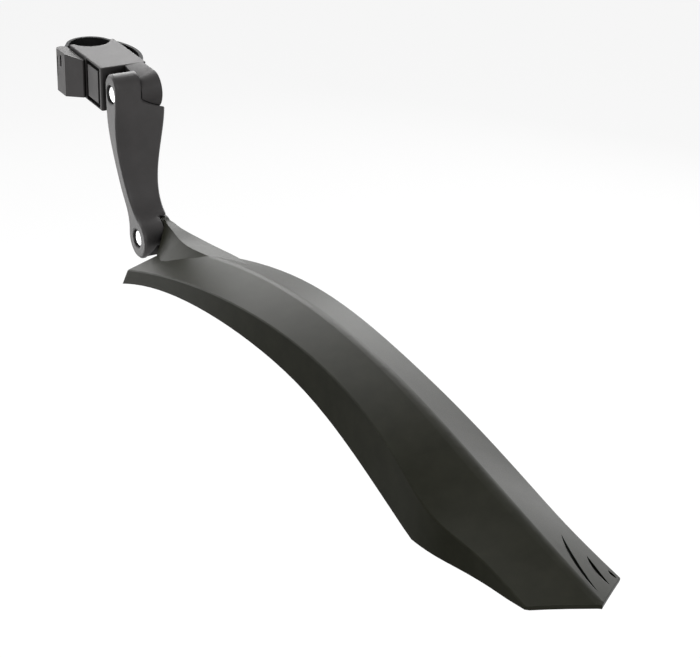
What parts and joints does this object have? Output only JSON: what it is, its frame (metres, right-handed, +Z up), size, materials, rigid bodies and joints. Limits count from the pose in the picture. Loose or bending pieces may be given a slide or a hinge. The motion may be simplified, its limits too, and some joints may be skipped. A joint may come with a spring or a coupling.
{
  "type": "bicycle_mudguard",
  "caption": "Rear bicycle mudguard in dark moulded plastic, with an arched blade on a jointed drop arm and a strap and lever clamp for the seatpost",
  "frame": {"origin": "on the seatpost's axis, halfway up the clamp", "axes": "+Z up the seatpost, +X rearward along the blade, +Y to the right side of the bicycle"},
  "size_m": [0.7142, 0.0718, 0.1487],
  "materials": {
    "body_plastic": "dark grey moulded plastic, fine spark-eroded texture",
    "blade_plastic": "dark olive-grey moulded plastic, fine texture with a soft sheen",
    "strap_rubber": "black flexible strap",
    "bolt_steel": "bright plated steel",
    "pin_steel": "plain steel",
    "washer_plastic": "black nylon"
  },
  "bodies": {
    "clamp": {"clamp_body": "body_plastic", "clamp_strap": "strap_rubber", "strap_anchor_pin": "pin_steel", "upper_pivot_bolt": "bolt_steel", "upper_pivot_nut": "pin_steel"},
    "lever": {"clamp_lever": "body_plastic", "lever_pin": "pin_steel"},
    "arm": {"arm": "body_plastic", "upper_friction_washer": "washer_plastic", "lower_friction_washer": "washer_plastic"},
    "blade": {"blade": "blade_plastic", "lower_pivot_bolt": "bolt_steel", "lower_pivot_nut": "pin_steel"}
  },
  "joints": [
    {"name": "upper_pivot", "type": "hinge", "parent": "clamp", "child": "arm", "pos_m": [0.0872, 0, 0.003], "axis": [0, 1, 0], "range_deg": [-70, 20]},
    {"name": "lower_pivot", "type": "hinge", "parent": "arm", "child": "blade", "pos_m": [0.1125, 0, -0.1055], "axis": [0, 1, 0], "range_deg": [-15, 35]},
    {"name": "lever_hinge", "type": "hinge", "parent": "clamp", "child": "lever", "pos_m": [0.0005, -0.0236, 0], "axis": [0, 0, -1], "range_deg": [0, 110]}
  ]
}
